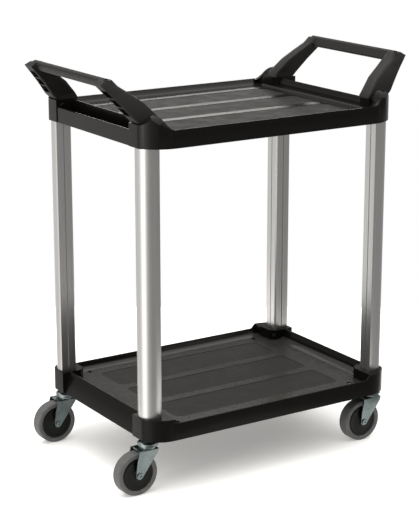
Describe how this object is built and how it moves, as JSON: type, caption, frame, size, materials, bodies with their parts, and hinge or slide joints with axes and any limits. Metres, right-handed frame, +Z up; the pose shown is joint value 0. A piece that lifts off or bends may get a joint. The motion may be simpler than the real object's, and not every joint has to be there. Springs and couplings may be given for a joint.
{
  "type": "food service trolley",
  "caption": "Push trolley with an upper and a lower moulded tray shelf on upright metal posts, a raised push handle at each end and swivelling caster wheels.",
  "frame": {"origin": "on the floor, at the centre of the footprint, under the wheels' lowest points", "axes": "+X along the trolley's length towards the right-hand handle, +Y to the back long side, +Z up; casters trail towards -X at rest"},
  "size_m": [0.823, 0.495, 0.9391],
  "materials": {
    "moulded_plastic": "black moulded polypropylene, fine grain",
    "satin_aluminium": "satin anodised extrusion",
    "zinc_steel": "bright zinc plated pressed steel",
    "black_hub": "smooth black nylon",
    "grey_tyre": "non-marking grey rubber"
  },
  "bodies": {
    "frame": {"upper_shelf": "moulded_plastic", "lower_shelf": "moulded_plastic", "post_fl": "satin_aluminium", "post_fr": "satin_aluminium", "post_bl": "satin_aluminium", "post_br": "satin_aluminium", "handle_right": "moulded_plastic", "handle_left": "moulded_plastic", "post_screws_lower": "zinc_steel", "post_screws_upper": "zinc_steel", "handle_screws": "zinc_steel", "caster_fl_stem": "zinc_steel", "caster_fl_head": "zinc_steel", "caster_fr_stem": "zinc_steel", "caster_fr_head": "zinc_steel", "caster_bl_stem": "zinc_steel", "caster_bl_head": "zinc_steel", "caster_br_stem": "zinc_steel", "caster_br_head": "zinc_steel"},
    "fork_fl": {"caster_fl_fork": "zinc_steel", "caster_fl_balls": "zinc_steel", "caster_fl_axle_bolt": "zinc_steel", "caster_fl_axle_nut": "zinc_steel", "caster_fl_sleeve": "zinc_steel"},
    "wheel_fl": {"caster_fl_wheel_core": "black_hub", "caster_fl_tyre": "grey_tyre"},
    "fork_fr": {"caster_fr_fork": "zinc_steel", "caster_fr_balls": "zinc_steel", "caster_fr_axle_bolt": "zinc_steel", "caster_fr_axle_nut": "zinc_steel", "caster_fr_sleeve": "zinc_steel"},
    "wheel_fr": {"caster_fr_wheel_core": "black_hub", "caster_fr_tyre": "grey_tyre"},
    "fork_bl": {"caster_bl_fork": "zinc_steel", "caster_bl_balls": "zinc_steel", "caster_bl_axle_bolt": "zinc_steel", "caster_bl_axle_nut": "zinc_steel", "caster_bl_sleeve": "zinc_steel"},
    "wheel_bl": {"caster_bl_wheel_core": "black_hub", "caster_bl_tyre": "grey_tyre"},
    "fork_br": {"caster_br_fork": "zinc_steel", "caster_br_balls": "zinc_steel", "caster_br_axle_bolt": "zinc_steel", "caster_br_axle_nut": "zinc_steel", "caster_br_sleeve": "zinc_steel"},
    "wheel_br": {"caster_br_wheel_core": "black_hub", "caster_br_tyre": "grey_tyre"}
  },
  "joints": [
    {"name": "swivel_fl", "type": "hinge", "parent": "frame", "child": "fork_fl", "pos_m": [-0.316, -0.195, 0.11], "axis": [0, 0, 1], "continuous": true},
    {"name": "roll_fl", "type": "hinge", "parent": "fork_fl", "child": "wheel_fl", "pos_m": [-0.349, -0.195, 0.05], "axis": [0, 1, 0], "continuous": true},
    {"name": "swivel_fr", "type": "hinge", "parent": "frame", "child": "fork_fr", "pos_m": [0.316, -0.195, 0.11], "axis": [0, 0, 1], "continuous": true},
    {"name": "roll_fr", "type": "hinge", "parent": "fork_fr", "child": "wheel_fr", "pos_m": [0.283, -0.195, 0.05], "axis": [0, 1, 0], "continuous": true},
    {"name": "swivel_bl", "type": "hinge", "parent": "frame", "child": "fork_bl", "pos_m": [-0.316, 0.195, 0.11], "axis": [0, 0, 1], "continuous": true},
    {"name": "roll_bl", "type": "hinge", "parent": "fork_bl", "child": "wheel_bl", "pos_m": [-0.349, 0.195, 0.05], "axis": [0, 1, 0], "continuous": true},
    {"name": "swivel_br", "type": "hinge", "parent": "frame", "child": "fork_br", "pos_m": [0.316, 0.195, 0.11], "axis": [0, 0, 1], "continuous": true},
    {"name": "roll_br", "type": "hinge", "parent": "fork_br", "child": "wheel_br", "pos_m": [0.283, 0.195, 0.05], "axis": [0, 1, 0], "continuous": true}
  ]
}
